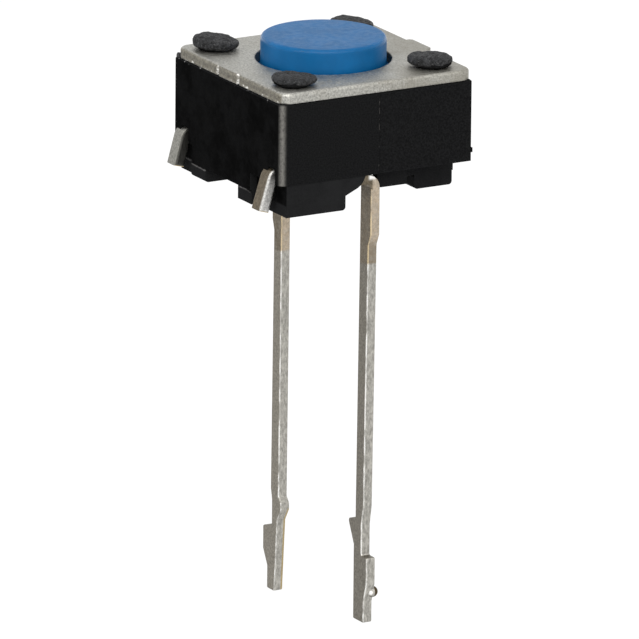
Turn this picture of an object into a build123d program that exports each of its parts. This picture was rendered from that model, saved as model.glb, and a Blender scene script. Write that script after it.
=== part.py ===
from build123d import *
import os
from math import radians, sqrt, tan

# A small push switch with two long taping leads. All sizes are in millimetres.
# The origin is at the middle of the body on the plane of its feet, where a board would be.
# +Z runs up through the button, X along the wall with the lead arch, Y towards the other lead.

# Moulded base
body_side = 6.0
wall_foot = 0.9
wall_top = 3.21
near_corner_bevel = 0.15
side_corner_bevel = 0.04
rim_bevel = 0.05
core_foot = 0.4
cavity_radius = 2.3
front_setback = 0.015
parting_x = 0.085
parting_step = 0.02

# Feet and reliefs under the near half of the base; the far half is the same, turned half round,
# but for the left side's foot and the block behind the left tab
tab_relief_depth = 0.2
tab_relief_length = 1.7
tab_window_gap = 0.2
tab_window_rise = 0.05
back_block_width = 0.6
back_block_inset = 0.05
near_foot_setback = 0.05
near_foot_right = -0.95
near_foot_length = 2.47
foot_round = 0.1
arch_depth = 1.07
ramp_knee_x = -0.6
ramp_knee_z = 0.56
ramp_end_x = -0.33
block_left = 0.31
block_right = 1.25
block_setback = 0.5
block_foot = 0.35
block_round = 0.14
side_foot_inset = 0.03
side_foot_width = 1.22
side_foot_setback = 1.02
side_foot_length = 0.97
left_foot_setback = 0.92
left_foot_length = 0.81
gate_mark_out = 0.06
gate_mark_low = 1.13
gate_mark_high = 1.26
gate_mark_width = 0.16

# Staked posts
post_edge = 0.81
post_radius = 0.34
post_clearance = 0.02
head_radius = 0.53
head_height = 0.21
head_round = 0.07
head_seat = 0.07
head_lift = 0.07

# Stamped cover
cover_thickness = 0.29
cover_corner = 0.36
cover_roll = 0.09
cover_shift = 0.03
button_gap = 0.155
tie_stub_left = 0.01
tie_stub_right = 0.1
tie_stub_width = 1.14
tie_stub_centre = 0.04
tie_notch_side = 0.11

# Button
button_radius = 1.735
button_top = 4.15
button_edge = 0.12
flange_overhang = 0.36
flange_thickness = 0.6
flange_gap = 0.02
nub_radius = 0.6
nub_gap = 0.01
travel = 0.25

# Snap dome
dome_clearance = 0.2
dome_height = 0.4
dome_thickness = 0.08

# Terminals, shared sizes; the tabs are thicker than the strip by their dip of solder
strip_thickness = 0.28
strip_skin = 0.1
floor_skin = 0.12
bend_inside = 0.03
lead_bend_inside = 0.13
edge_softness = 0.03
corner_softness = 0.05
plate_inset = 0.4
joggle_left = -1.0
joggle_right = -0.62
rail_gap = 0.1
rail_width = 0.4
lead_right = 0.145
lead_pitch = 4.83
shank_width = 0.445
lead_reach = 11.98
shoulder_taper = 0.32
tab_width = 0.48
tab_thickness = 0.32
tab_softness = 0.07
ring_boss_radius = 0.18
centre_pad_radius = 0.5
centre_boss_radius = 0.35
arm_width = 0.7

# Front terminal: heel and flag are stacked up from the lead's tip
front_lead_inset = 0.18
front_shoulder_extra = 0.14
front_shoulder_drop = 0.84
front_drift = 0.12
front_tip_width = 0.57
front_tip_inset = 0.08
front_tip_length = 0.59
front_heel_taper = 0.55
front_heel_length = 0.76
front_heel_reach = 0.3
front_waist = 0.22
front_waist_length = 0.88
front_waist_taper = 0.55
front_flag_base = 2.13
front_flag_taper = 0.59
front_flag_length = 0.09
front_flag_slope = 0.12
front_flag_reach = 0.37
front_blob_radius = 0.16
front_blob_rise = 0.88
front_tab_offset = 0.57
front_tab_lean = 17
front_tab_end = 0.1
front_tab_reach = 0.385

# Back terminal: bulge and flag are stacked up from the lead's tip
back_lead_extra = 0.43
back_shoulder_extra = 0.1
back_shoulder_drop = 1.68
back_drift = 0.07
back_tip_width = 0.4
back_tip_inset = 0.29
back_tip_length = 0.65
back_blade_length = 2.09
back_bulge_taper = 0.34
back_bulge_length = 0.2
back_bulge_rise = 0.16
back_bulge_reach = 0.14
back_blade_inset = 0.07
back_flag_taper = 0.45
back_flag_length = 0.66
back_flag_slope = 0.16
back_flag_reach = 0.49
back_waist_length = 0.71
back_waist_taper = 0.32
back_tab_offset = 0.64
back_tab_lean = 15.5
back_tab_end = 0.2
back_tab_reach = 0.323

# Places that follow from the sizes above
half = body_side / 2
post_offset = half - post_edge
cover_top = wall_top + cover_thickness
cover_hole_radius = button_radius + button_gap
stub_span = body_side + tie_stub_left + tie_stub_right
stub_middle = cover_shift + (tie_stub_right - tie_stub_left) / 2
strip_bottom = wall_foot + strip_skin
strip_top = strip_bottom + strip_thickness
strip_middle = strip_bottom + strip_thickness / 2
finger_middle = wall_foot - strip_thickness / 2
cavity_floor = strip_top + floor_skin
lead_left = lead_right - strip_thickness
lead_middle = lead_right - strip_thickness / 2
plate_left = -half + plate_inset
flange_radius = button_radius + flange_overhang
flange_top = wall_top - flange_gap
flange_bottom = flange_top - flange_thickness
dome_radius = cavity_radius - dome_clearance
dome_top = cavity_floor + dome_height
nub_bottom = dome_top + nub_gap
centre_boss_top = dome_top - dome_thickness - travel
front_face = -half + front_setback
arch_back = -half + arch_depth
front_near = -half + front_lead_inset
front_far = front_near + shank_width
back_near = front_near + lead_pitch
back_far = back_near + shank_width
front_tab_y = front_near + front_tab_offset
back_tab_y = back_near + back_tab_offset


def post_places():
    """The four posts, one near each corner of the body."""
    return GridLocations(2 * post_offset, 2 * post_offset, 2, 2)


def half_turn():
    """The same place twice, once turned half round the Z axis."""
    return PolarLocations(0, 2)


def bent_strip(near_y, width, points, thickness=strip_thickness, inside=bend_inside, softness=edge_softness):
    """One strap of strip metal, folded along its middle line in the XZ plane."""
    with BuildPart() as strap:
        with BuildSketch(Plane.XZ.offset(-(near_y + width))):
            with BuildLine():
                FilletPolyline(*points, radius=inside + thickness / 2)
            trace(line_width=thickness)
        extrude(amount=width)
        fillet(strap.faces().filter_by(Axis.Y).edges(), softness)
    return strap.part


def flat_lead(*outline):
    """A lead stamped flat in the YZ plane, its corners and edges slightly softened."""
    with BuildPart() as lead:
        with BuildSketch(Plane.YZ.offset(lead_left)) as blank:
            with BuildLine():
                Polyline(*outline, close=True)
            make_face()
            fillet(blank.vertices(), corner_softness)
        extrude(amount=strip_thickness)
        fillet(lead.faces().filter_by(Axis.X).edges(), edge_softness)
    return lead.part


def side_tab(middle_y, lean, end, reach):
    """A solder-dipped tab: level out of its window in the wall, then down and outward."""
    slope = tan(radians(lean))
    tip_x = -half - reach + tab_thickness * sqrt(1 + slope**2) / 2
    corner_x = tip_x + slope * (strip_middle - end)
    points = (plate_left, strip_middle), (corner_x, strip_middle), (tip_x, end)
    near_y = middle_y - tab_width / 2
    return bent_strip(near_y, tab_width, points, thickness=tab_thickness, softness=tab_softness)


def joggle(near_y, width):
    """The finger's step down from the strip to the level it leaves the body at."""
    points = (
        (plate_left, strip_middle),
        (joggle_left, strip_middle),
        (joggle_right, finger_middle),
        (lead_middle, finger_middle),
    )
    return bent_strip(near_y, width, points)


def finger(near_y, width):
    """The finger's level end and its fold down into the lead."""
    points = (joggle_right, finger_middle), (lead_middle, finger_middle), (lead_middle, core_foot / 2)
    return bent_strip(near_y, width, points, inside=lead_bend_inside)


# Front terminal: rail, tab at the wall, finger folded down into the long lead, ring contact
front_shoulder = front_near - front_shoulder_extra
front_heel_y = front_near + front_waist - front_heel_reach
front_flag_y = front_far + front_drift + front_flag_reach
front_tip_near = front_near + front_tip_inset
front_tip_far = front_tip_near + front_tip_width
front_tip = -lead_reach
front_heel_foot = front_tip + front_tip_length
front_heel_low = front_heel_foot + front_heel_taper
front_heel_top = front_heel_low + front_heel_length
front_waist_top = front_heel_top + front_waist_length
front_flag_foot = front_tip + front_flag_base
front_flag_low = front_flag_foot + front_flag_taper
front_flag_top = front_flag_low + front_flag_length
front_rail_near = front_far + rail_gap
front_rail_far = front_rail_near + rail_width
front_lead = flat_lead(
    (front_shoulder, core_foot),
    (front_shoulder, -front_shoulder_drop),
    (front_near, -front_shoulder_drop - shoulder_taper),
    (front_near + front_drift, front_waist_top + front_waist_taper),
    (front_near + front_waist, front_waist_top),
    (front_near + front_waist, front_heel_top),
    (front_heel_y, front_heel_top),
    (front_heel_y, front_heel_low),
    (front_tip_near, front_heel_foot),
    (front_tip_near, front_tip),
    (front_tip_far, front_tip),
    (front_tip_far, front_flag_foot),
    (front_flag_y, front_flag_low),
    (front_flag_y, front_flag_top),
    (front_far + front_drift, front_flag_top + front_flag_slope),
    (front_far, core_foot),
)
with BuildPart() as front_terminal:
    with BuildSketch(Plane.XY.offset(strip_bottom)):
        with BuildLine():
            Polyline(
                (plate_left, front_near),
                (joggle_left - strip_thickness, front_near),
                (joggle_left - strip_thickness, front_rail_near),
                (half, front_rail_near),
                (half, front_rail_far),
                (plate_left, front_rail_far),
                close=True,
            )
        make_face()
    extrude(amount=strip_thickness)
    with BuildSketch(Plane.XY.offset(strip_top)):
        with Locations((0, -dome_radius)):
            Circle(ring_boss_radius)
    extrude(amount=cavity_floor - strip_top)
    with Locations((lead_right, front_tip_near, front_tip + front_blob_rise)):
        Sphere(front_blob_radius)
    add(side_tab(front_tab_y, front_tab_lean, front_tab_end, front_tab_reach))
    add(joggle(front_near, shank_width))
    add(finger(front_shoulder, shank_width + front_shoulder_extra))
    add(front_lead)
front_terminal.part.label = "front_terminal"

# Back terminal: the same kind of stamping, with the arm to the contact under the dome
back_shoulder = back_far + back_shoulder_extra
back_waist_near = back_near + back_drift
back_bulge_y = back_waist_near - back_bulge_reach
back_flag_y = back_far + back_flag_reach
back_tip_near = back_near + back_tip_inset
back_tip_far = back_tip_near + back_tip_width
back_tip = -lead_reach - back_lead_extra
back_bulge_foot = back_tip + back_blade_length
back_bulge_low = back_bulge_foot + back_bulge_taper
back_bulge_high = back_bulge_low + back_bulge_length
back_flag_foot = back_tip + back_tip_length
back_flag_low = back_flag_foot + back_flag_taper
back_flag_high = back_flag_low + back_flag_length
back_waist_low = back_flag_high + back_flag_slope
back_waist_high = back_waist_low + back_waist_length
back_rail_near = back_shoulder + rail_gap
back_rail_far = back_rail_near + rail_width / 2
arm_root_right = joggle_left - strip_thickness
back_lead = flat_lead(
    (back_near, core_foot),
    (back_waist_near, back_bulge_high + back_bulge_rise),
    (back_bulge_y, back_bulge_high),
    (back_bulge_y, back_bulge_low),
    (back_waist_near + back_blade_inset, back_bulge_foot),
    (back_tip_near, back_tip),
    (back_tip_far, back_tip),
    (back_tip_far, back_flag_foot),
    (back_flag_y, back_flag_low),
    (back_flag_y, back_flag_high),
    (back_far, back_waist_low),
    (back_far, back_waist_high),
    (back_far + back_drift, back_waist_high + back_waist_taper),
    (back_far, -back_shoulder_drop - shoulder_taper),
    (back_shoulder, -back_shoulder_drop),
    (back_shoulder, core_foot),
)
with BuildPart() as back_terminal:
    with BuildSketch(Plane.XY.offset(strip_bottom)):
        with BuildLine():
            Polyline(
                (plate_left, back_near),
                (arm_root_right - arm_width, back_near),
                (-arm_width / 2, 0),
                (arm_width / 2, 0),
                (arm_root_right, back_near),
                (arm_root_right, back_rail_near),
                (half, back_rail_near),
                (half, back_rail_far),
                (plate_left, back_rail_far),
                close=True,
            )
        make_face()
        Circle(centre_pad_radius)
    extrude(amount=strip_thickness)
    with BuildSketch(Plane.XY.offset(strip_top)):
        Circle(centre_boss_radius)
    extrude(amount=centre_boss_top - strip_top)
    add(side_tab(back_tab_y, back_tab_lean, back_tab_end, back_tab_reach))
    add(joggle(back_near, shank_width))
    add(finger(back_near, shank_width + back_shoulder_extra))
    add(back_lead)
back_terminal.part.label = "back_terminal"

# The rounded ramp on one side of the arch that the front lead comes out through
with BuildPart() as arch_ramp:
    with BuildSketch(Plane.XZ.offset(-arch_back)):
        with BuildLine():
            Line((near_foot_right, core_foot), (ramp_knee_x, ramp_knee_z))
            TangentArc(
                (ramp_knee_x, ramp_knee_z),
                (ramp_end_x, wall_foot),
                tangent=(ramp_knee_x - near_foot_right, ramp_knee_z - core_foot),
            )
            Polyline((ramp_end_x, wall_foot), (near_foot_right, wall_foot), (near_foot_right, core_foot))
        make_face()
    extrude(amount=arch_back - front_face)

# One staked head: it sits on the cover near its post and lifts towards its rounded rim
head_top = cover_top + head_height
with BuildPart() as melted_head:
    with BuildSketch(Plane.XZ) as half_section:
        Polygon(
            (0, cover_top),
            (post_radius + head_seat, cover_top),
            (head_radius, cover_top + head_lift),
            (head_radius, head_top),
            (0, head_top),
            align=None,
        )
        fillet(half_section.vertices().group_by(Axis.X)[-1].sort_by(Axis.Y)[-1], head_round)
        fillet(half_section.vertices().group_by(Axis.X)[-1].sort_by(Axis.Y)[0], head_round / 2)
    revolve(axis=Axis.Z)

# Base: walls, set-back core, feet, round cavity and staked posts, moulded round the terminals.
# A window beside each tab lets the tab out of the wall.
window_width = tab_width / 2 + tab_window_gap
tab_relief_x = -half + tab_relief_depth
tab_relief_y = -half + tab_relief_length
near_foot_left = -half + near_foot_setback
near_foot_back = -half + near_foot_length
side_foot_front = -half + side_foot_setback
side_foot_back = side_foot_front + side_foot_length
left_foot_far = half - left_foot_setback
left_foot_near = left_foot_far - left_foot_length
block_front = -half + block_setback
core_points = (
    (-half, 0),
    (-half, tab_relief_y),
    (tab_relief_x, tab_relief_y),
    (tab_relief_x, front_face),
    (near_foot_right, front_face),
    (near_foot_right, arch_back),
    (block_left, arch_back),
    (block_left, block_front),
    (block_right, block_front),
    (block_right, side_foot_front),
    (half, side_foot_front),
    (half, 0),
)
near_foot_points = (
    (tab_relief_x, front_face),
    (near_foot_right, front_face),
    (near_foot_right, near_foot_back),
    (near_foot_left, near_foot_back),
    (near_foot_left, tab_relief_y),
    (tab_relief_x, tab_relief_y),
)
right_foot_points = (
    (half - side_foot_width, side_foot_front),
    (half - side_foot_inset, side_foot_front),
    (half - side_foot_inset, side_foot_back),
    (half - side_foot_width, side_foot_back),
)
left_foot_points = (
    (-half + side_foot_width, left_foot_near),
    (-half + side_foot_inset, left_foot_near),
    (-half + side_foot_inset, left_foot_far),
    (-half + side_foot_width, left_foot_far),
)
block_points = (
    (block_left, block_front),
    (block_right, block_front),
    (block_right, side_foot_front),
    (block_left, side_foot_front),
)
back_block_points = (
    (tab_relief_x, -side_foot_front),
    (tab_relief_x, half - back_block_inset),
    (tab_relief_x + back_block_width, half - back_block_inset),
    (tab_relief_x + back_block_width, -side_foot_front),
)
with BuildPart() as base_housing:
    with BuildSketch(Plane.XY.offset(wall_foot)) as wall_plan:
        Rectangle(body_side, body_side)
        chamfer(wall_plan.vertices().filter_by(lambda v: v.X * v.Y > 0), length=near_corner_bevel)
        chamfer(wall_plan.vertices().filter_by(lambda v: v.X * v.Y < 0), length=side_corner_bevel)
    extrude(amount=wall_top - wall_foot)
    chamfer(base_housing.faces().sort_by(Axis.Z)[-1].edges(), length=rim_bevel)
    with BuildSketch(Plane.XY.offset(core_foot)):
        with half_turn():
            Polygon(*core_points, align=None)
    extrude(amount=wall_foot - core_foot)
    with BuildSketch(Plane.XY.offset(block_foot)):
        with half_turn():
            Polygon(*block_points, align=None)
    extrude(amount=core_foot - block_foot)
    block_edges = base_housing.edges().filter_by(Axis.Y).group_by(Axis.Z)[0]
    fillet(block_edges.filter_by(lambda e: abs(abs(e.center().X) - block_left) < rim_bevel), block_round)
    with half_turn():
        add(arch_ramp.part)
    with BuildSketch():
        with half_turn():
            Polygon(*near_foot_points, align=None)
        Polygon(*right_foot_points, align=None)
        Polygon(*left_foot_points, align=None)
    extrude(amount=core_foot)
    foot_edges = base_housing.edges().filter_by(Axis.Y).group_by(Axis.Z)[0]
    foot_edges = foot_edges.filter_by(lambda e: side_foot_front < -abs(e.center().Y) < side_foot_back)
    fillet(foot_edges, foot_round)
    with BuildSketch():
        Polygon(*back_block_points, align=None)
    extrude(amount=wall_foot)
    with BuildSketch(Plane.XY.offset(wall_foot)):
        with Locations((-half, front_tab_y - window_width / 2), (-half, back_tab_y - window_width / 2)):
            Rectangle(2 * tab_relief_depth, window_width)
    extrude(amount=strip_top + tab_window_rise - wall_foot, mode=Mode.SUBTRACT)
    with BuildSketch(Plane.XY.offset(wall_foot)):
        with Locations(((half + parting_x) / 2, -half)):
            Rectangle(half - parting_x, 2 * parting_step)
    extrude(amount=wall_top - wall_foot, mode=Mode.SUBTRACT)
    with BuildSketch(Plane.XY.offset(gate_mark_low)):
        with Locations((half, front_face + side_corner_bevel + gate_mark_width / 2)):
            Rectangle(2 * gate_mark_out, gate_mark_width)
    extrude(amount=gate_mark_high - gate_mark_low)
    with BuildSketch(Plane.XY.offset(cavity_floor)):
        Circle(cavity_radius)
    extrude(amount=wall_top - cavity_floor, mode=Mode.SUBTRACT)
    with BuildSketch(Plane.XY.offset(wall_top)):
        with post_places():
            Circle(post_radius)
    extrude(amount=cover_thickness)
    with post_places():
        add(melted_head.part)
    add(front_terminal.part, mode=Mode.SUBTRACT)
    add(back_terminal.part, mode=Mode.SUBTRACT)
base_housing.part.label = "base_housing"

# Cover: stamped plate with post holes and the stubs of its carrier ties between small notches
with BuildPart() as cover_plate:
    with BuildSketch(Plane.XY.offset(wall_top)):
        with Locations((cover_shift, 0)):
            RectangleRounded(body_side, body_side, cover_corner)
    extrude(amount=cover_thickness)
    fillet(cover_plate.faces().sort_by(Axis.Z)[-1].edges(), cover_roll)
    with BuildSketch(Plane.XY.offset(wall_top)):
        with Locations((stub_middle, tie_stub_centre)):
            Rectangle(stub_span, tie_stub_width)
    extrude(amount=cover_thickness)
    with BuildSketch(Plane.XY.offset(wall_top)):
        with Locations((stub_middle, tie_stub_centre)):
            with GridLocations(stub_span, tie_stub_width, 2, 2):
                Rectangle(tie_notch_side, tie_notch_side, rotation=45)
        with post_places():
            Circle(post_radius + post_clearance)
        Circle(cover_hole_radius)
    extrude(amount=cover_thickness, mode=Mode.SUBTRACT)
cover_plate.part.label = "cover_plate"

# Button: round stem through the cover, flange that holds it in, nub on the dome
with BuildPart() as plunger:
    with BuildSketch(Plane.XY.offset(flange_bottom)):
        Circle(flange_radius)
    extrude(amount=flange_thickness)
    with BuildSketch(Plane.XY.offset(flange_top)):
        Circle(button_radius)
    extrude(amount=button_top - flange_top)
    fillet(plunger.edges().group_by(Axis.Z)[-1], button_edge)
    with BuildSketch(Plane.XY.offset(nub_bottom)):
        Circle(nub_radius)
    extrude(amount=flange_bottom - nub_bottom)
plunger.part.label = "plunger"

# Snap dome: a thin spherical cap that stands on its rim
dome_rise = dome_height - dome_thickness
dome_ball = (dome_radius**2 + dome_rise**2) / (2 * dome_rise)
half_way = dome_radius / 2
half_way_drop = dome_ball - sqrt(dome_ball**2 - half_way**2)
with BuildPart() as contact_dome:
    with BuildSketch(Plane.XZ):
        with BuildLine():
            ThreePointArc(
                (0, dome_top - dome_thickness),
                (half_way, dome_top - dome_thickness - half_way_drop),
                (dome_radius, cavity_floor),
            )
            Line((dome_radius, cavity_floor), (dome_radius, cavity_floor + dome_thickness))
            ThreePointArc(
                (dome_radius, cavity_floor + dome_thickness),
                (half_way, dome_top - half_way_drop),
                (0, dome_top),
            )
            Line((0, dome_top), (0, dome_top - dome_thickness))
        make_face()
    revolve(axis=Axis.Z)
contact_dome.part.label = "contact_dome"

os.makedirs("parts", exist_ok=True)
export_step(base_housing.part, "parts/base_housing.step")
export_step(cover_plate.part, "parts/cover_plate.step")
export_step(plunger.part, "parts/plunger.step")
export_step(contact_dome.part, "parts/contact_dome.step")
export_step(front_terminal.part, "parts/front_terminal.step")
export_step(back_terminal.part, "parts/back_terminal.step")
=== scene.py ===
"""Dresses a small push switch with long taping leads: finishes, button, dome, melted heads, stage."""

from collections import namedtuple
from math import cos, radians, sin, tau

import bmesh
import bpy
from bpy.props import FloatProperty, FloatVectorProperty, IntProperty, PointerProperty
from mathutils import Matrix, Vector, noise


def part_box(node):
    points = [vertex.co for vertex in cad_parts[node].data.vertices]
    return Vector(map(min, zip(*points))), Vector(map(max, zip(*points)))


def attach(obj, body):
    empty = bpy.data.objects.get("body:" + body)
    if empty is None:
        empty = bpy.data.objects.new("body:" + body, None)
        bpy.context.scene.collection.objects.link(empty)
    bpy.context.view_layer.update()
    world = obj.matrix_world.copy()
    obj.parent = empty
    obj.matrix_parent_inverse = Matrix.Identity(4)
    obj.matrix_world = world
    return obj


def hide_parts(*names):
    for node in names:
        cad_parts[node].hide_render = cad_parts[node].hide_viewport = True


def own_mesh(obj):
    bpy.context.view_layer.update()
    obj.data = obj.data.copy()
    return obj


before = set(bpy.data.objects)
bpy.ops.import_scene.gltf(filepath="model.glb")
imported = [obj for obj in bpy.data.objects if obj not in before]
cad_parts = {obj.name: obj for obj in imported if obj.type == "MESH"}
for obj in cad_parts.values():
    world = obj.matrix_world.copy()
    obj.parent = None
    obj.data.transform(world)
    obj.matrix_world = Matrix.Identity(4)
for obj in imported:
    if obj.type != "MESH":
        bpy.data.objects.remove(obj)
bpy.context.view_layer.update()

bl_info = {
    "name": "Push Switch Dressing",
    "version": (1, 0, 0),
    "blender": (4, 5, 0),
    "location": "View3D > Sidebar > Switch",
    "description": "Finishes and small formed details for a square push switch on long leads",
    "category": "Object",
}

MM = 0.001
PHOTO_PIXELS = 639
SENSOR_MM = 36
SAME_POINT_MM = 1e-4
SAME_RIM_MM = 1e-3

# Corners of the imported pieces, in millimetres
_, base_high = (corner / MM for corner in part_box("base_housing"))
cover_low, cover_high = (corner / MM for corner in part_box("cover_plate"))
plunger_low, plunger_high = (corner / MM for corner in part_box("plunger"))
dome_low, dome_high = (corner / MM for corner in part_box("contact_dome"))
back_lead_low, _ = (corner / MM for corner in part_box("back_terminal"))

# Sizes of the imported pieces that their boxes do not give, in millimetres
POST_EDGE = 0.81
FLANGE_GAP = 0.02
post_offset = base_high.y - POST_EDGE

# Places on the base that its finish follows, in millimetres; a corner's sum is x + y, its line is x - y
WALL_FOOT_Z = 0.9
CORE_FOOT_Z = 0.4
LIP_Z = 0.33
SEAM_X = 0.085
NEAR_CORNER_SUM = -5.675
NEAR_CORNER_LINE = 0.02
NEAR_CORNER_HALF = 0.2
LEFT_FOOT_END_Y = -1.25

# Places on the cover that its finish follows, in millimetres
LEFT_EDGE_START_Y = -2.85
GLINTS_START_Y = -2.15
RIDGE_START_X = -1.9

# Places on the terminals that their finish follows, in millimetres, and how the stain's end slopes
PIECE_BORDER_Y = 0.65
TAB_BORDER_X = -2.55
LEAD_BORDER_X = -0.55
LEAD_TOP_Z = 0.475
FOLD_FOOT_Z = 0.46
FOLD_X = -0.085
FOLD_TOP_X = (-0.2, 0.02)
FOLD_TOP_Z = (0.76, 0.95)
STAIN_SLOPE = 0.17
STAIN_END_Z = -2.16
DEEP_STAIN_Z = (-1.75, -1.35)
CUT_TIP_Y = 1.55
CUT_TIP_Z = -9.95
CUT_TIP_X = (0.06, 0.1)
DROP_X = 0.15
DROP_Z = -7.95


class SwitchMouldingSettings(bpy.types.PropertyGroup):
    """Looks of the black moulding and its melted heads."""

    body_colour: FloatVectorProperty(
        name="Body colour", description="Colour of the moulded base", subtype="COLOR",
        size=3, min=0, max=1, default=(0.0105, 0.0107, 0.0112),
    )
    # Painted shade: the base's left side is drawn darker for how the light falls on it
    left_shade_colour: FloatVectorProperty(
        name="Left colour", description="Colour of the base's left side, which is darkest", subtype="COLOR",
        size=3, min=0, max=1, default=(0.001, 0.001, 0.001),
    )
    head_colour: FloatVectorProperty(
        name="Head colour", description="Colour of the melted post heads", subtype="COLOR",
        size=3, min=0, max=1, default=(0.022, 0.0225, 0.024),
    )
    # Painted highlight down the near corner's chamfer, also the colour of the pale seam
    highlight_and_seam_colour: FloatVectorProperty(
        name="Rubbed colour", description="Colour of the rubbed corner", subtype="COLOR",
        size=3, min=0, max=1, default=(0.2, 0.194, 0.18),
    )
    fleck_colour: FloatVectorProperty(
        name="Fleck colour", description="Colour of the pale flecks in the melted heads", subtype="COLOR",
        size=3, min=0, max=1, default=(0.13, 0.13, 0.13),
    )
    # Pale flash, with painted glints where its edges catch the light
    flash_and_glint_colour: FloatVectorProperty(
        name="Flash colour", description="Colour of the moulding's thin flash", subtype="COLOR",
        size=3, min=0, max=1, default=(0.35, 0.34, 0.34),
    )
    lump_height: FloatProperty(
        name="Lump height", description="Height of the lumps on a melted head", unit="LENGTH",
        default=0.04 * MM,
    )
    head_detail: IntProperty(
        name="Head detail", description="Subdivisions of a melted head", default=6, min=3, max=7,
    )


class SwitchCoverSettings(bpy.types.PropertyGroup):
    """Looks of the stamped cover."""

    colour: FloatVectorProperty(
        name="Cover colour", description="Colour of the plated cover", subtype="COLOR",
        size=3, min=0, max=1, default=(0.395, 0.39, 0.36),
    )
    # Also the painted shade on the cover's top towards the right and on its left edge
    edge_colour: FloatVectorProperty(
        name="Sheared edge colour", description="Colour of the cover's sheared edges", subtype="COLOR",
        size=3, min=0, max=1, default=(0.26, 0.243, 0.2),
    )
    # Painted glints on the cover's left lip and in its notches
    glint_colour: FloatVectorProperty(
        name="Glint colour", description="Colour of freshly broken plating", subtype="COLOR",
        size=3, min=0, max=1, default=(0.95, 0.94, 0.9),
    )


class SwitchButtonSettings(bpy.types.PropertyGroup):
    """Size and looks of the button and of the dome under it."""

    colour: FloatVectorProperty(
        name="Button colour", description="Colour of the button moulding", subtype="COLOR",
        size=3, min=0, max=1, default=(0.002, 0.118, 0.32),
    )
    stem_radius: FloatProperty(
        name="Stem radius", description="Radius of the button above its flange", unit="LENGTH",
        default=1.735 * MM,
    )
    stem_edge: FloatProperty(
        name="Edge round", description="Rounding of the button's top edge", unit="LENGTH", default=0.12 * MM,
    )
    small_edge: FloatProperty(
        name="Small edge round", description="Rounding of the flange's and the nub's edges", unit="LENGTH",
        default=0.04 * MM,
    )
    flange_thickness: FloatProperty(
        name="Flange thickness", description="Thickness of the flange under the cover", unit="LENGTH",
        default=0.6 * MM,
    )
    nub_radius: FloatProperty(
        name="Nub radius", description="Radius of the nub that presses the dome", unit="LENGTH",
        default=0.6 * MM,
    )
    dome_thickness: FloatProperty(
        name="Dome thickness", description="Thickness of the snap dome", unit="LENGTH", default=0.08 * MM,
    )
    dome_dark: FloatVectorProperty(
        name="Dome's dark grain", description="Colour of the dome's darkest grain", subtype="COLOR",
        size=3, min=0, max=1, default=(0.52, 0.52, 0.52),
    )
    dome_light: FloatVectorProperty(
        name="Dome's light grain", description="Colour of the dome's lightest grain", subtype="COLOR",
        size=3, min=0, max=1, default=(0.64, 0.64, 0.63),
    )
    dome_steps: IntProperty(
        name="Dome steps", description="Rings from the dome's middle to its rim", default=12, min=4, max=40,
    )
    turn_steps: IntProperty(
        name="Turn steps", description="Steps round each turned piece", default=144, min=32, max=256,
    )


class SwitchStripSettings(bpy.types.PropertyGroup):
    """Looks of the plated strip that the terminals are stamped from."""

    face_colour: FloatVectorProperty(
        name="Face colour", description="Colour of the strip's flat faces", subtype="COLOR",
        size=3, min=0, max=1, default=(0.22, 0.203, 0.17),
    )
    # Also darkened into painted shade on the back tab's edge
    tab_colour: FloatVectorProperty(
        name="Tab colour", description="Colour of the left tab's solder", subtype="COLOR",
        size=3, min=0, max=1, default=(0.28, 0.275, 0.25),
    )
    # Lighter than the faces partly as sheared metal and partly as painted light on the edges facing the
    # front
    edge_colour: FloatVectorProperty(
        name="Edge colour", description="Colour of the strip's sheared edges", subtype="COLOR",
        size=3, min=0, max=1, default=(0.38, 0.368, 0.335),
    )
    # Painted highlights along the leads' corners, on top of the folds and on the front tab's edge
    highlight_colour: FloatVectorProperty(
        name="Bright colour", description="Colour of the bright plating along the corners", subtype="COLOR",
        size=3, min=0, max=1, default=(0.95, 0.94, 0.91),
    )
    # Painted highlight along the leads' corners where the stain lies
    stained_highlight_colour: FloatVectorProperty(
        name="Gold colour", description="Colour of the corners where they are stained", subtype="COLOR",
        size=3, min=0, max=1, default=(0.7, 0.57, 0.36),
    )
    stain_colour: FloatVectorProperty(
        name="Stain colour", description="Colour of the stain under the body, on the edges", subtype="COLOR",
        size=3, min=0, max=1, default=(0.45, 0.375, 0.285),
    )
    # Stain on the flat faces, and painted shade on the folds' insides, the front tab's face and the faces
    # under the body
    stain_and_shade_colour: FloatVectorProperty(
        name="Dark stain colour", description="Colour of the stain on the flat faces", subtype="COLOR",
        size=3, min=0, max=1, default=(0.15, 0.125, 0.09),
    )
    brass_colour: FloatVectorProperty(
        name="Brass colour", description="Colour where the plating is thin", subtype="COLOR",
        size=3, min=0, max=1, default=(0.42, 0.31, 0.13),
    )
    drop_colour: FloatVectorProperty(
        name="Drop colour", description="Colour of the burnt drop on the front lead's tip", subtype="COLOR",
        size=3, min=0, max=1, default=(0.07, 0.05, 0.025),
    )


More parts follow.
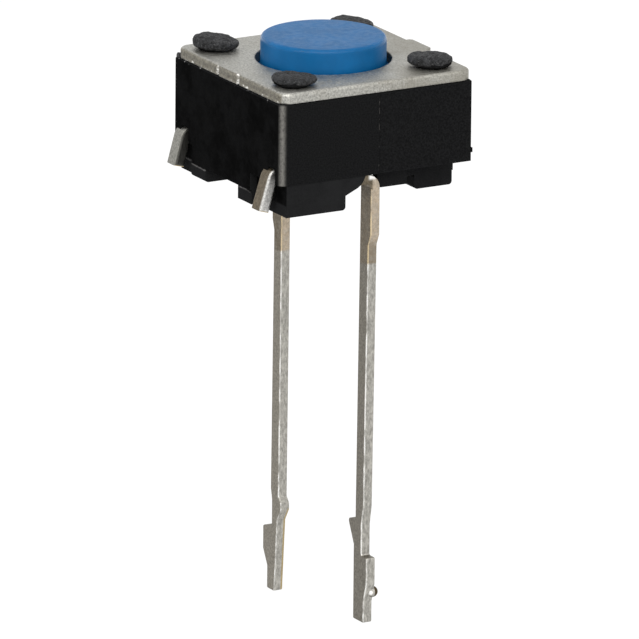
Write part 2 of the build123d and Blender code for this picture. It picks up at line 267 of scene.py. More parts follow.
class SwitchStageSettings(bpy.types.PropertyGroup):
    """Camera, lamps and floor."""

    azimuth: FloatProperty(
        name="Azimuth", description="Camera's turn round the switch", subtype="ANGLE",
        default=radians(-29.485),
    )
    elevation: FloatProperty(
        name="Elevation", description="Camera's height above level", subtype="ANGLE", default=radians(15.83),
    )
    roll: FloatProperty(
        name="Roll", description="Camera's roll", subtype="ANGLE", default=radians(0.5266),
    )
    distance: FloatProperty(
        name="Distance", description="Camera to the point it looks at", unit="LENGTH", default=0.4,
    )
    target: FloatVectorProperty(
        name="Target", description="Point the camera looks at", subtype="TRANSLATION", unit="LENGTH",
        size=3, default=(-0.0461 * MM, 0, -3.9755 * MM),
    )
    focal_pixels: FloatProperty(
        name="Focal length", description="Focal length in pixels of the photograph", default=14500.5,
    )
    floor_gap: FloatProperty(
        name="Floor gap", description="Floor below the longest lead", unit="LENGTH", default=0.01 * MM,
    )
    floor_half: FloatProperty(
        name="Floor half width", description="Half the width of the floor", unit="LENGTH", default=3,
    )
    key_power: FloatProperty(name="Key power", description="Power of the key lamp in watts", default=1.5)
    left_power: FloatProperty(name="Left power", description="Power of the left lamp in watts", default=0.35)
    top_power: FloatProperty(name="Top power", description="Power of the top lamp in watts", default=0.06)
    world_strength: FloatProperty(name="World strength", description="Light from all round", default=0.5)


class Finish:
    """A node material under construction, whose patterns lie on Object coordinates in millimetres."""

    def __init__(self, name):
        self.material = bpy.data.materials.new(name)
        self.material.use_nodes = True
        self.tree = self.material.node_tree
        self.tree.nodes.clear()
        self.shader = self.node("ShaderNodeBsdfPrincipled")
        output = self.node("ShaderNodeOutputMaterial")
        self.link(self.shader.outputs["BSDF"], output.inputs["Surface"])
        source = self.node("ShaderNodeTexCoord")
        scale = self.node("ShaderNodeVectorMath", operation="SCALE")
        scale.inputs["Scale"].default_value = 1 / MM
        self.link(source.outputs["Object"], scale.inputs[0])
        self.place = scale.outputs["Vector"]
        self.normal = source.outputs["Normal"]
        self.x, self.y, self.z = self.parts(self.place)

    def node(self, kind, **choices):
        """A new node, with its choices set."""
        made = self.tree.nodes.new(kind)
        for key, value in choices.items():
            setattr(made, key, value)
        return made

    def link(self, start, end):
        """Joins an output to an input."""
        self.tree.links.new(start, end)

    def fill(self, socket, value):
        """Sets a socket's own value, or links another socket to it."""
        if isinstance(value, bpy.types.NodeSocket):
            self.link(value, socket)
        elif isinstance(value, (int, float)):
            socket.default_value = value
        else:
            socket.default_value = (*value, 1)

    def parts(self, vector):
        """The three parts of a vector."""
        made = self.node("ShaderNodeSeparateXYZ")
        self.link(vector, made.inputs["Vector"])
        return made.outputs["X"], made.outputs["Y"], made.outputs["Z"]

    def math(self, operation, *values):
        """One sum on numbers."""
        made = self.node("ShaderNodeMath", operation=operation)
        for socket, value in zip(made.inputs, values):
            self.fill(socket, value)
        return made.outputs["Value"]

    def both(self, *masks):
        """Where all the masks hold."""
        held = masks[0]
        for mask in masks[1:]:
            held = self.math("MULTIPLY", held, mask)
        return held

    def opposite(self, mask):
        """0 where the mask is 1, and 1 where it is 0."""
        return self.step(mask, 0, 1, 1, 0)

    def stretched(self, x, y, z):
        """The place scaled along each axis, for a pattern with a grain."""
        made = self.node("ShaderNodeMapping")
        made.inputs["Scale"].default_value = (x, y, z)
        self.link(self.place, made.inputs["Vector"])
        return made.outputs["Vector"]

    def grain(self, per_mm, detail, roughness, place=None):
        """Noise round a half, with about that many grains to the millimetre."""
        made = self.node("ShaderNodeTexNoise")
        made.inputs["Scale"].default_value = per_mm
        made.inputs["Detail"].default_value = detail
        made.inputs["Roughness"].default_value = roughness
        self.link(place or self.place, made.inputs["Vector"])
        return made.outputs["Fac"]

    def step(self, value, low, high, at_low=0.0, at_high=1.0):
        """A smooth step from at_low, where value is low, to at_high."""
        made = self.node("ShaderNodeMapRange", interpolation_type="SMOOTHSTEP")
        self.fill(made.inputs["Value"], value)
        made.inputs["From Min"].default_value = low
        made.inputs["From Max"].default_value = high
        made.inputs["To Min"].default_value = at_low
        made.inputs["To Max"].default_value = at_high
        return made.outputs["Result"]

    def patches(self, per_mm, detail, roughness, low, high, at_low=0.0, at_high=1.0, place=None):
        """A smooth step from at_low, where the grain is low, to at_high."""
        return self.step(self.grain(per_mm, detail, roughness, place), low, high, at_low, at_high)

    def above(self, value, border, soft):
        """1 where value is above the border, fading over soft at each side of it."""
        return self.step(value, border - soft, border + soft)

    def below(self, value, border, soft):
        """1 where value is below the border, fading over soft at each side of it."""
        return self.step(value, border - soft, border + soft, 1, 0)

    def between(self, value, low, high, soft):
        """1 where value lies between low and high, fading over soft at each side."""
        return self.both(self.above(value, low, soft), self.below(value, high, soft))

    def facing(self, x, y, z, low=0.8, high=0.95, normal=None):
        """1 where the surface faces that way, 0 elsewhere."""
        made = self.node("ShaderNodeVectorMath", operation="DOT_PRODUCT")
        self.link(normal or self.normal, made.inputs[0])
        made.inputs[1].default_value = Vector((x, y, z)).normalized()
        return self.step(made.outputs["Value"], low, high)

    def rounded(self, radius):
        """The normal as it would be with the edges rounded to that radius in millimetres."""
        made = self.node("ShaderNodeBevel", samples=6)
        made.inputs["Radius"].default_value = radius * MM
        return made.outputs["Normal"]

    def mix(self, share, first, second):
        """Colour from first, at share 0, to second."""
        made = self.node("ShaderNodeMix", data_type="RGBA", blend_type="MIX")
        factor, _, _, _, _, _, colour_a, colour_b, *_ = made.inputs
        self.fill(factor, share)
        self.fill(colour_a, first)
        self.fill(colour_b, second)
        return next(socket for socket in made.outputs if socket.type == "RGBA")

    def shades(self, value, colour, darkest, lightest):
        """The colour varied from darkest to lightest shares of itself."""
        return self.mix(value, [c * darkest for c in colour], [min(c * lightest, 1) for c in colour])

    def bump(self, height, depth, strength=1.0, edge=0.0):
        """Relief of that depth in millimetres, over edges softened by edge."""
        made = self.node("ShaderNodeBump")
        made.inputs["Strength"].default_value = strength
        made.inputs["Distance"].default_value = depth * MM
        self.link(height, made.inputs["Height"])
        if edge:
            self.link(self.rounded(edge), made.inputs["Normal"])
        self.link(made.outputs["Normal"], self.shader.inputs["Normal"])

    def done(self, colour, roughness, metallic=0.0, specular=0.5):
        """Fills the shader and gives the finished material."""
        self.fill(self.shader.inputs["Base Color"], colour)
        self.fill(self.shader.inputs["Roughness"], roughness)
        self.shader.inputs["Metallic"].default_value = metallic
        self.shader.inputs["Specular IOR Level"].default_value = specular
        return self.material


def clothe(node_name, material):
    """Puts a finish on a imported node."""
    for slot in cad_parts[node_name].material_slots:
        slot.material = material


def finish_piece(name, bm, material, body, sharp_angle=radians(40)):
    """Turns a bmesh into a smooth-shaded piece at the origin that rides on a body."""
    bmesh.ops.recalc_face_normals(bm, faces=bm.faces)
    for face in bm.faces:
        face.smooth = True
    for edge in bm.edges:
        edge.smooth = edge.is_manifold and edge.calc_face_angle() < sharp_angle
    mesh = bpy.data.meshes.new(name)
    bm.to_mesh(mesh)
    bm.free()
    mesh.materials.append(material)
    piece = bpy.data.objects.new(name, mesh)
    bpy.context.scene.collection.objects.link(piece)
    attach(piece, body)
    return piece


def turned(profile, steps):
    """A closed solid turned round Z from (radius, height) points in millimetres, the ends on the axis."""
    bm = bmesh.new()
    points = [bm.verts.new((radius * MM, 0, height * MM)) for radius, height in profile]
    edges = [bm.edges.new(pair) for pair in zip(points, points[1:])]
    bmesh.ops.spin(
        bm, geom=points + edges, cent=(0, 0, 0), axis=(0, 0, 1), dvec=(0, 0, 0), angle=tau, steps=steps,
        use_merge=True, use_duplicate=False, use_normal_flip=False,
    )
    bmesh.ops.remove_doubles(bm, verts=bm.verts, dist=SAME_POINT_MM * MM)
    return bm


def round_rim(bm, radius, height, width, segments):
    """Rounds the circle of edges at that radius and height, all in millimetres."""
    def on_rim(vert):
        off_height = abs(vert.co.z / MM - height)
        off_radius = abs(vert.co.xy.length / MM - radius)
        return off_height < SAME_RIM_MM and off_radius < SAME_RIM_MM

    rim = [edge for edge in bm.edges if all(on_rim(vert) for vert in edge.verts)]
    bmesh.ops.bevel(
        bm, geom=rim, offset=width * MM, offset_type="OFFSET", segments=segments, profile=0.5,
        affect="EDGES", material=-1,
    )


def moulding_finish():
    """Dead black nylon: painted shade on the left side, a painted highlight down the near corner, faint
    seam, pale flash with painted glints.
    """
    look = bpy.context.scene.switch_moulding
    finish = Finish("black_moulding_finish")
    front = finish.facing(0, -1, 0)
    clouds = finish.patches(1.1, 4, 0.7, 0.38, 0.6, 0.95, 0.6)
    colour = finish.shades(finish.patches(26, 3, 0.8, 0.36, 0.64), look.body_colour, 0.6, 1.4)
    # Painted shade on the faces turned to the left, in soft clouds
    colour = finish.mix(finish.both(finish.facing(-1, 0, 0), clouds), colour, look.left_shade_colour)

    # Paler under the left side's lip and on the lower part of the front
    above_foot = finish.step(finish.z, WALL_FOOT_Z - 0.02, WALL_FOOT_Z + 0.03)
    under_lip = finish.both(finish.below(finish.z, LIP_Z, 0.03), finish.facing(-1, 0, -0.3, 0.6, 0.8))
    colour = finish.mix(under_lip, colour, [c * 1.4 for c in look.body_colour])
    lower_front = finish.both(front, finish.opposite(above_foot), clouds)
    colour = finish.mix(lower_front, colour, [c * 1.8 for c in look.body_colour])

    # Painted highlight down the near corner's chamfer
    along_corner = finish.math("SUBTRACT", finish.x, finish.y)
    off_line = finish.math("ABSOLUTE", finish.math("SUBTRACT", along_corner, NEAR_CORNER_LINE))
    corner = finish.both(
        finish.step(off_line, 0, NEAR_CORNER_HALF, 1, 0),
        finish.below(finish.math("ADD", finish.x, finish.y), NEAR_CORNER_SUM, 0.025),
        finish.between(finish.z, WALL_FOOT_Z, cover_low.z - 0.04, 0.03),
        finish.patches(16, 3, 0.7, 0.3, 0.62, 0.5, 1.0, place=finish.stretched(1, 1, 0.6)),
    )
    colour = finish.mix(corner, colour, look.highlight_and_seam_colour)

    # Broken seam down the front
    seam = finish.both(
        finish.between(finish.x, SEAM_X - 0.015, SEAM_X + 0.015, 0.008),
        front,
        above_foot,
        finish.patches(5, 3, 0.7, 0.45, 0.65, 0, 0.35, place=finish.stretched(0.3, 0.3, 1)),
    )
    colour = finish.mix(seam, colour, look.highlight_and_seam_colour)

    # Pale crumbs of flash on the left side, under the cover and along its foot, with painted glints on their
    # edges
    top_edge = finish.both(
        finish.between(finish.z, cover_low.z - 0.07, cover_low.z - 0.01, 0.015),
        finish.patches(7, 2, 0.6, 0.63, 0.69),
    )
    wandering = finish.math("MULTIPLY_ADD", finish.grain(2.5, 3, 0.7), 0.14, finish.z)
    foot_edge = finish.both(
        finish.between(wandering, CORE_FOOT_Z, CORE_FOOT_Z + 0.03, 0.025),
        finish.patches(4, 4, 0.75, 0.42, 0.62, 0.08, 0.6),
        finish.above(finish.y, LEFT_FOOT_END_Y, 0.05),
    )
    flash = finish.both(finish.math("ADD", top_edge, foot_edge), finish.facing(-1, 0, 0.3, 0.6, 0.8))
    colour = finish.mix(flash, colour, look.flash_and_glint_colour)

    finish.bump(finish.grain(26, 3, 0.6), 0.006, 0.8, edge=0.025)
    return finish.done(colour, finish.patches(5, 3, 0.6, 0.3, 0.7, 0.5, 0.66), specular=0.006)


def melted_finish():
    """The moulding where it was melted: greyer, pitted and speckled."""
    look = bpy.context.scene.switch_moulding
    finish = Finish("melted_moulding_finish")
    colour = finish.shades(finish.patches(12, 4, 0.8, 0.38, 0.62), look.head_colour, 0.25, 2.2)
    colour = finish.mix(finish.patches(20, 2, 0.5, 0.6, 0.72, 0, 0.8), colour, look.fleck_colour)
    finish.bump(finish.grain(16, 4, 0.75), 0.05, 1.0)
    return finish.done(colour, finish.patches(8, 2, 0.5, 0.3, 0.7, 0.5, 0.75), specular=0.2)


def cover_finish():
    """Satin plating, speckled, with cloudy painted shade to the right, a brown left edge with painted shade
    and glints, a darker front line.
    """
    look = bpy.context.scene.switch_cover
    finish = Finish("cover_metal_finish")
    speckle = finish.patches(16, 4, 0.8, 0.36, 0.64)
    # Cloudy painted shade, darker towards the right of the cover
    cloud = finish.math("MULTIPLY_ADD", finish.x, 0.06, finish.grain(0.8, 3, 0.6))
    colour = finish.shades(speckle, look.colour, 0.66, 1.34)
    colour = finish.mix(finish.step(cloud, 0.35, 0.75, 0, 0.6), colour, look.edge_colour)

    # Brown sheared left edge, darkened partly by painted shade, with a band of painted shade across its
    # middle and painted glints along its lower lip
    rolled = finish.facing(-1, 0, 0.1, 0.45, 0.95, finish.rounded(0.09))
    left_edge = finish.both(rolled, finish.above(finish.y, LEFT_EDGE_START_Y, 0.05))
    colour = finish.mix(left_edge, colour, finish.shades(speckle, look.edge_colour, 0.6, 1.2))
    edge_band_shade = finish.both(left_edge, finish.between(finish.z, cover_low.z + 0.07, cover_high.z - 0.09, 0.04))
    colour = finish.mix(edge_band_shade, colour, finish.shades(speckle, look.edge_colour, 0.4, 0.9))
    lip = finish.both(
        left_edge,
        finish.between(finish.z, cover_low.z + 0.01, cover_low.z + 0.07, 0.02),
        finish.patches(6, 3, 0.7, 0.56, 0.66),
    )
    colour = finish.mix(lip, colour, look.glint_colour)

    # Darker brown line behind the front edge, and painted glints in the tie stubs' notches
    ridge = finish.both(
        finish.between(finish.y, cover_low.y + 0.12, cover_low.y + 0.15, 0.02),
        finish.above(finish.x, RIDGE_START_X, 0.3),
        finish.patches(3, 3, 0.7, 0.35, 0.6, 0.2, 0.8),
    )
    colour = finish.mix(ridge, colour, look.edge_colour)
    glints = finish.both(
        finish.facing(-1, -1, 0, 0.9, 0.97),
        finish.above(finish.y, GLINTS_START_Y, 0.05),
        finish.patches(14, 2, 0.6, 0.42, 0.6, 0.05, 0.8),
    )
    colour = finish.mix(glints, colour, look.glint_colour)
    finish.bump(finish.grain(30, 3, 0.7), 0.008, 0.9, edge=0.08)
    return finish.done(colour, finish.patches(7, 3, 0.6, 0.3, 0.7, 0.4, 0.54), metallic=1.0)


def strip_finish():
    """Dull tin over brass: dark flat faces, lighter edges, painted highlights, shade and shadow, stain near
    the body, golden at one tip.
    """
    look = bpy.context.scene.switch_strip
    finish = Finish("plated_strip_finish")
    front_piece = finish.below(finish.y, PIECE_BORDER_Y, 0.05)
    back_piece = finish.opposite(front_piece)
    lead = finish.above(finish.x, LEAD_BORDER_X, 0.05)
    tab = finish.below(finish.x, TAB_BORDER_X, 0.05)
    edge_on = finish.facing(0, -1, 0, 0.35, 0.75)
    mottle = finish.patches(15, 4, 0.8, 0.34, 0.66)

    # Mottled faces, darker on the front piece, and streaked sheared edges, lighter on the edges facing the
    # front partly as sheared metal and partly as painted light
    back_face = finish.shades(mottle, look.face_colour, 0.7, 1.3)
    front_face = finish.shades(mottle, look.face_colour, 0.5, 1.05)
    streaks = finish.patches(16, 4, 0.8, 0.34, 0.66, place=finish.stretched(1, 1, 0.4))
    edge = finish.shades(streaks, look.edge_colour, 0.68, 1.32)
    colour = finish.mix(edge_on, finish.mix(front_piece, back_face, front_face), edge)

    # Stain near the body, with painted shadow under the body on the flat faces, deepest at its end on the
    # front piece's edge
    stain_level = finish.math("MULTIPLY_ADD", finish.y, STAIN_SLOPE, finish.z)
    # stained marks where the stain and the painted shadow under the body lie
    stained = finish.both(lead, finish.above(stain_level, STAIN_END_Z, 0.04))
    deep_end = finish.both(finish.step(stain_level, *DEEP_STAIN_Z, 0.65, 0), front_piece)
    edge_stain = finish.shades(mottle, look.stain_colour, 0.8, 1.2)
    edge_stain = finish.mix(deep_end, edge_stain, look.stain_and_shade_colour)
    face_stain_and_shade = finish.shades(mottle, look.stain_and_shade_colour, 0.7, 1.3)
    stain_and_shadow_share = finish.both(stained, finish.patches(5, 3, 0.7, 0.3, 0.6, 0.6, 1))
    colour = finish.mix(stain_and_shadow_share, colour, finish.mix(edge_on, face_stain_and_shade, edge_stain))

    # Fold where a lead leaves the body: painted shade on its inside, a painted highlight on top
    fold_shade = finish.both(
        lead, finish.above(finish.z, FOLD_FOOT_Z, 0.04), edge_on, finish.below(finish.x, FOLD_X, 0.035),
    )
    colour = finish.mix(fold_shade, colour, face_stain_and_shade)
    fold_highlight = finish.both(
        finish.between(finish.x, *FOLD_TOP_X, 0.05), finish.between(finish.z, *FOLD_TOP_Z, 0.05), edge_on,
    )
    colour = finish.mix(fold_highlight, colour, look.highlight_colour)

    # Tabs: painted shade on the front face and a painted highlight on its edge, solder and painted shade on
    # the back one, brass under both
    tab_face = finish.both(tab, finish.opposite(edge_on))
    colour = finish.mix(finish.both(tab_face, front_piece), colour, face_stain_and_shade)
    solder = finish.shades(mottle, look.tab_colour, 0.7, 1.3)
    colour = finish.mix(finish.both(tab_face, back_piece), colour, solder)
    colour = finish.mix(finish.both(tab, edge_on, back_piece), colour, [c * 0.3 for c in look.tab_colour])
    front_tab_highlight = finish.both(tab, finish.facing(0, -1, 0, 0.0, 0.95), front_piece)
    colour = finish.mix(front_tab_highlight, colour, finish.shades(mottle, look.highlight_colour, 0.42, 0.72))
    colour = finish.mix(finish.both(tab, finish.facing(0, 0, -1, 0.5, 0.8)), colour, look.brass_colour)

    # Painted highlight along a lead's near corner, golden where the stain lies
    corner_highlight = finish.both(
        finish.facing(-1, -1, 0, 0.86, 0.97, finish.rounded(0.07)),
        finish.patches(5, 3, 0.7, 0.38, 0.55, 0.1, 1, place=finish.stretched(1, 1, 0.3)),
        lead,
        finish.below(finish.z, LEAD_TOP_Z, 0.025),
    )
    colour = finish.mix(corner_highlight, colour, finish.mix(stained, look.highlight_colour, look.stained_highlight_colour))

    # Bare brass along the back lead's cut tip, and the burnt drop on the front lead's tip
    cut_tip = finish.both(
        edge_on,
        finish.above(finish.y, CUT_TIP_Y, 0.05),
        finish.below(finish.z, CUT_TIP_Z, 0.05),
        finish.step(finish.x, *CUT_TIP_X, 0, 0.8),
    )
    colour = finish.mix(cut_tip, colour, look.brass_colour)
    drop = finish.both(finish.above(finish.x, DROP_X, 0.01), finish.below(finish.z, DROP_Z, 0.05))
    colour = finish.mix(drop, colour, look.drop_colour)
    finish.bump(finish.grain(26, 3, 0.7), 0.008, 0.9, edge=0.04)
    return finish.done(colour, finish.patches(6, 3, 0.6, 0.3, 0.7, 0.4, 0.56), metallic=1.0)


def button_finish():
    """Satin blue moulding with a very fine grain and a smoother rim."""
    look = bpy.context.scene.switch_button
    finish = Finish("blue_moulding_finish")
    colour = finish.shades(finish.patches(1.2, 3, 0.6, 0.35, 0.65), look.colour, 0.93, 1.08)
    rim = finish.between(finish.z, plunger_high.z - 0.11, plunger_high.z - 0.02, 0.03)
    finish.bump(finish.grain(30, 4, 0.8), 0.006, 0.8)
    satin = finish.patches(6, 2, 0.5, 0.3, 0.7, 0.4, 0.5)
    roughness = finish.math("SUBTRACT", satin, finish.math("MULTIPLY", rim, 0.28))
    return finish.done(colour, roughness, specular=0.2)


def dome_finish():
    """Bright spring steel with a fine rolled grain."""
    look = bpy.context.scene.switch_button
    finish = Finish("dome_steel_finish")
    rolled = finish.patches(10, 3, 0.6, 0.3, 0.7, place=finish.stretched(1, 0.1, 1))
    finish.bump(rolled, 0.003, 0.5)
    return finish.done(finish.mix(rolled, look.dome_dark, look.dome_light), 0.3, metallic=1.0)


class SWITCH_OT_dress_base(bpy.types.Operator):
    """Gives the moulded base its black finish"""

    bl_idname = "switch.dress_base"
    bl_label = "Dress base"

    def execute(self, context):
        clothe("base_housing", moulding_finish())
        return {"FINISHED"}


class SWITCH_OT_dress_cover(bpy.types.Operator):
    """Gives the stamped cover its plated finish"""

    bl_idname = "switch.dress_cover"
    bl_label = "Dress cover"

    def execute(self, context):
        clothe("cover_plate", cover_finish())
        return {"FINISHED"}


class SWITCH_OT_dress_terminals(bpy.types.Operator):
    """Gives both terminals their plated finish"""

    bl_idname = "switch.dress_terminals"
    bl_label = "Dress terminals"

    def execute(self, context):
        finish = strip_finish()
        clothe("front_terminal", finish)
        clothe("back_terminal", finish)
        return {"FINISHED"}


# A lump of melted moulding, in millimetres: the post it is placed from, its middle from that post in X
# and Y and from the feet in Z, its half widths across the photograph, away from the camera and in Z, and
# the share by which its top falls towards the photograph's right
Lump = namedtuple("Lump", "corner middle half_widths tilt")
MELTED_LUMPS = {
    "left_head": Lump((-1, 1), (0.03, -0.02, 3.685), (0.645, 0.56, 0.175), 0.6),
    "near_head": Lump((-1, -1), (0.03, -0.025, 3.675), (0.62, 0.52, 0.135), 0.3),
    "right_head": Lump((1, -1), (-0.059, 0.033, 3.69), (0.63, 0.53, 0.16), 0.1),
    "far_head": Lump((1, 1), (-0.05, 0.03, 3.66), (0.63, 0.58, 0.16), 0.42),
    "corner_flash": Lump((-1, 1), (-0.7, 0.7, 3.23), (0.1, 0.1, 0.075), 0.3),
}
LUMP_SQUARENESS = 3.0
LUMP_UNDERSIDE_TILT = 0.25
LUMP_MOST_RELIEF = 0.25
LUMP_NOISES = ((0.9, 2.6), (0.5, 7), (0.22, 17))
LUMP_NOISE_SHIFT = (7.3, 3.1, 5.7)


def melted_lump(lump, look, seed):
    """A ball pressed flat, tilted on top, with lumps and pits pushed in by noise."""
    azimuth = bpy.context.scene.switch_stage.azimuth
    across = Vector((cos(azimuth), sin(azimuth), 0))
    away = Vector((-across.y, across.x, 0))
    post_x, post_y = (side * post_offset for side in lump.corner)
    centre = Vector((post_x + lump.middle[0], post_y + lump.middle[1], lump.middle[2]))
    relief = min(look.lump_height / MM, LUMP_MOST_RELIEF * lump.half_widths[2])
    noise_shift = Vector([seed * shift for shift in LUMP_NOISE_SHIFT])
    bm = bmesh.new()
    bmesh.ops.create_icosphere(bm, subdivisions=look.head_detail, radius=1)
    for vert in bm.verts:
        flat = vert.co.xy.length
        full = (flat**LUMP_SQUARENESS + abs(vert.co.z) ** LUMP_SQUARENESS) ** (-1 / LUMP_SQUARENESS)
        along, depth, up = vert.co * full
        up *= 1 - lump.tilt * along if up > 0 else 1 + LUMP_UNDERSIDE_TILT * lump.tilt * along
        place = Vector([part * width for part, width in zip((along, depth, up), lump.half_widths)])
        spot = place + noise_shift
        rough = sum(share * noise.noise(spot * per_mm) for share, per_mm in LUMP_NOISES)
        place += vert.co * relief * rough
        vert.co = (centre + across * place.x + away * place.y) * MM
        vert.co.z = (centre.z + place.z) * MM
    return bm


class SWITCH_OT_melt_heads(bpy.types.Operator):
    """Makes the four melted post heads that hold the cover, and the flash at the left corner"""

    bl_idname = "switch.melt_heads"
    bl_label = "Melt heads"

    def execute(self, context):
        look = context.scene.switch_moulding
        finish = melted_finish()
        for seed, (name, lump) in enumerate(MELTED_LUMPS.items()):
            bm = melted_lump(lump, look, seed)
            finish_piece(name, bm, finish, "housing", sharp_angle=radians(180))
        return {"FINISHED"}


class SWITCH_OT_turn_button(bpy.types.Operator):
    """Makes the round button with its flange and nub, in place of the plain one"""

    bl_idname = "switch.turn_button"
    bl_label = "Turn button"

    def execute(self, context):
        look = context.scene.switch_button
        stem = look.stem_radius / MM
        flange = plunger_high.x
        flange_top = cover_low.z - FLANGE_GAP
        flange_low = flange_top - look.flange_thickness / MM
        nub = look.nub_radius / MM
        top_ring = stem * 0.6
        bm = turned(
            (
                (0, plunger_low.z),
                (nub, plunger_low.z),
                (nub, flange_low),
                (flange, flange_low),
                (flange, flange_top),
                (stem, flange_top),
                (stem, plunger_high.z),
                (top_ring, plunger_high.z),
                (0, plunger_high.z),
            ),
            look.turn_steps,
        )
        round_rim(bm, stem, plunger_high.z, look.stem_edge / MM, segments=8)
        for radius, height in ((flange, flange_top), (flange, flange_low), (nub, plunger_low.z)):
            round_rim(bm, radius, height, look.small_edge / MM, segments=3)
        button = finish_piece("round_button", bm, button_finish(), "button")
        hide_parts("plunger")
        return {"FINISHED"}


class SWITCH_OT_form_dome(bpy.types.Operator):
    """Makes the snap dome under the button, as it stands before it is pressed"""

    bl_idname = "switch.form_dome"
    bl_label = "Form dome"

    def execute(self, context):
        look = context.scene.switch_button
        thickness = look.dome_thickness / MM
        rise = dome_high.z - dome_low.z - thickness
        rim = dome_high.x
        ball = (rim**2 + rise**2) / (2 * rise)
        steps = [rim * step / look.dome_steps for step in range(look.dome_steps + 1)]
        under = [(radius, dome_low.z + rise - ball + (ball**2 - radius**2) ** 0.5) for radius in steps]
        over = [(radius, height + thickness) for radius, height in reversed(under)]
        bm = turned(under + over, look.turn_steps)
        dome = finish_piece("snap_dome", bm, dome_finish(), "housing")
        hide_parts("contact_dome")
        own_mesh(dome)
        return {"FINISHED"}


def aim(place, back, up_hint=Vector((0, 0, 1))):
    """The matrix of a lamp or camera at a place, whose back points that way."""
    right = up_hint.cross(back).normalized()
    up = back.cross(right)
    return Matrix.Translation(place) @ Matrix((right, up, back)).transposed().to_4x4()


# A soft square lamp: the direction it hangs in, and its distance and size in metres
Lamp = namedtuple("Lamp", "direction distance size colour")
LAMPS = {
    "key": Lamp((-0.25, -0.8, 0.75), 0.5, 0.5, (1, 0.985, 0.96)),
    "left": Lamp((-0.74, -0.3, 0.6), 0.4, 0.07, (1, 1, 1)),
    "top": Lamp((-0.1, 0.15, 1), 0.35, 0.25, (1, 1, 1)),
}
FLOOR_SHADE = (0.8, 0.8, 0.8, 1)
SEEN_FLOOR_SHADE = (0.2, 0.2, 0.2, 1)
SEEN_FLOOR_GLOW = 0.88
WHITE = (1, 1, 1, 1)


def add_lamp(name, lamp, power):
    """Hangs one lamp of the table, which looks at the switch."""
    light = bpy.data.lights.new(f"{name}_lamp", "AREA")
    light.shape = "SQUARE"
    light.size = lamp.size
    light.energy = power
    light.color = lamp.colour
    holder = bpy.data.objects.new(f"{name}_lamp", light)
    back = Vector(lamp.direction).normalized()
    holder.matrix_world = aim(back * lamp.distance, back, Vector((0, 1, 0)))
    bpy.context.scene.collection.objects.link(holder)


def seen_share(tree):
    """1 for the rays that should see a plain white background, 0 for those that light the switch."""
    path = tree.nodes.new("ShaderNodeLightPath")
    first = tree.nodes.new("ShaderNodeMath")
    first.operation = "MAXIMUM"
    tree.links.new(path.outputs["Is Camera Ray"], first.inputs[0])
    tree.links.new(path.outputs["Is Glossy Ray"], first.inputs[1])
    second = tree.nodes.new("ShaderNodeMath")
    second.operation = "MAXIMUM"
    tree.links.new(first.outputs[0], second.inputs[0])
    tree.links.new(path.outputs["Is Transmission Ray"], second.inputs[1])
    return second.outputs[0]


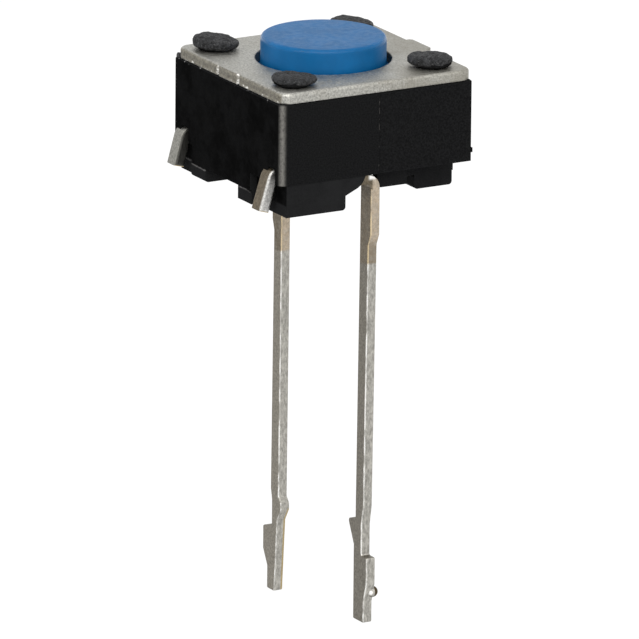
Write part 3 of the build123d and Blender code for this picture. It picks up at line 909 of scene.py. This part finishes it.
class SWITCH_OT_set_stage(bpy.types.Operator):
    """Makes the white floor, the lamps, the surrounding light and the camera"""

    bl_idname = "switch.set_stage"
    bl_label = "Set stage"

    def execute(self, context):
        stage = context.scene.switch_stage
        self.add_floor(stage)
        self.add_world(stage)
        for name, lamp in LAMPS.items():
            add_lamp(name, lamp, getattr(stage, f"{name}_power"))
        self.add_camera(stage)
        context.scene.view_settings.view_transform = "Standard"
        return {"FINISHED"}

    def add_floor(self, stage):
        bm = bmesh.new()
        bmesh.ops.create_grid(bm, x_segments=8, y_segments=8, size=stage.floor_half)
        bmesh.ops.translate(bm, verts=bm.verts, vec=(0, 0, back_lead_low.z * MM - stage.floor_gap))
        mesh = bpy.data.meshes.new("floor")
        bm.to_mesh(mesh)
        bm.free()
        floor = bpy.data.objects.new("floor", mesh)
        bpy.context.scene.collection.objects.link(floor)
        material = bpy.data.materials.new("floor_white")
        material.use_nodes = True
        tree = material.node_tree
        tree.nodes.clear()
        output = tree.nodes.new("ShaderNodeOutputMaterial")
        plain = tree.nodes.new("ShaderNodeBsdfDiffuse")
        plain.inputs["Color"].default_value = FLOOR_SHADE
        seen = tree.nodes.new("ShaderNodeBsdfDiffuse")
        seen.inputs["Color"].default_value = SEEN_FLOOR_SHADE
        glow = tree.nodes.new("ShaderNodeEmission")
        glow.inputs["Color"].default_value = WHITE
        glow.inputs["Strength"].default_value = SEEN_FLOOR_GLOW
        lit = tree.nodes.new("ShaderNodeAddShader")
        tree.links.new(seen.outputs[0], lit.inputs[0])
        tree.links.new(glow.outputs[0], lit.inputs[1])
        pick = tree.nodes.new("ShaderNodeMixShader")
        tree.links.new(seen_share(tree), pick.inputs["Fac"])
        tree.links.new(plain.outputs[0], pick.inputs[1])
        tree.links.new(lit.outputs[0], pick.inputs[2])
        tree.links.new(pick.outputs[0], output.inputs["Surface"])
        mesh.materials.append(material)

    def add_world(self, stage):
        world = bpy.data.worlds.new("soft_surround")
        bpy.context.scene.world = world
        world.use_nodes = True
        tree = world.node_tree
        tree.nodes.clear()
        output = tree.nodes.new("ShaderNodeOutputWorld")
        seen = tree.nodes.new("ShaderNodeBackground")
        seen.inputs["Strength"].default_value = 1.0
        fill = tree.nodes.new("ShaderNodeBackground")
        fill.inputs["Strength"].default_value = stage.world_strength
        for background in (seen, fill):
            background.inputs["Color"].default_value = WHITE
        pick = tree.nodes.new("ShaderNodeMixShader")
        tree.links.new(seen_share(tree), pick.inputs["Fac"])
        tree.links.new(fill.outputs[0], pick.inputs[1])
        tree.links.new(seen.outputs[0], pick.inputs[2])
        tree.links.new(pick.outputs[0], output.inputs["Surface"])

    def add_camera(self, stage):
        turn, rise = stage.azimuth, stage.elevation
        back = Vector((sin(turn) * cos(rise), -cos(turn) * cos(rise), sin(rise)))
        camera = bpy.data.cameras.new("photo_camera")
        camera.sensor_width = SENSOR_MM
        camera.lens = stage.focal_pixels / PHOTO_PIXELS * SENSOR_MM
        camera.clip_start = 0.01
        holder = bpy.data.objects.new("photo_camera", camera)
        upright = aim(Vector(stage.target) + back * stage.distance, back)
        holder.matrix_world = upright @ Matrix.Rotation(stage.roll, 4, "Z")
        bpy.context.scene.collection.objects.link(holder)
        bpy.context.scene.camera = holder


class SWITCH_PT_dressing(bpy.types.Panel):
    """Lists the steps that dress the switch"""

    bl_label = "Push switch"
    bl_idname = "SWITCH_PT_dressing"
    bl_space_type = "VIEW_3D"
    bl_region_type = "UI"
    bl_category = "Switch"

    def draw(self, context):
        for operator in OPERATORS:
            self.layout.operator(operator.bl_idname)
        for group in GROUPS:
            looks = getattr(context.scene, group)
            for name in looks.bl_rna.properties.keys():
                if name not in ("rna_type", "name"):
                    self.layout.prop(looks, name)


GROUPS = {
    "switch_moulding": SwitchMouldingSettings,
    "switch_cover": SwitchCoverSettings,
    "switch_button": SwitchButtonSettings,
    "switch_strip": SwitchStripSettings,
    "switch_stage": SwitchStageSettings,
}
OPERATORS = (
    SWITCH_OT_dress_base,
    SWITCH_OT_dress_cover,
    SWITCH_OT_dress_terminals,
    SWITCH_OT_melt_heads,
    SWITCH_OT_turn_button,
    SWITCH_OT_form_dome,
    SWITCH_OT_set_stage,
)


def register():
    """Adds the settings, the steps and the panel."""
    for name, group in GROUPS.items():
        bpy.utils.register_class(group)
        setattr(bpy.types.Scene, name, PointerProperty(type=group))
    for operator in OPERATORS:
        bpy.utils.register_class(operator)
    bpy.utils.register_class(SWITCH_PT_dressing)


def unregister():
    """Takes away what register added."""
    bpy.utils.unregister_class(SWITCH_PT_dressing)
    for operator in reversed(OPERATORS):
        bpy.utils.unregister_class(operator)
    for name, group in reversed(GROUPS.items()):
        delattr(bpy.types.Scene, name)
        bpy.utils.unregister_class(group)


def main():
    """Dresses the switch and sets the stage."""
    register()
    bpy.ops.switch.dress_base()
    bpy.ops.switch.dress_cover()
    bpy.ops.switch.dress_terminals()
    bpy.ops.switch.melt_heads()
    bpy.ops.switch.turn_button()
    bpy.ops.switch.form_dome()
    bpy.ops.switch.set_stage()


if __name__ == "__main__":
    main()
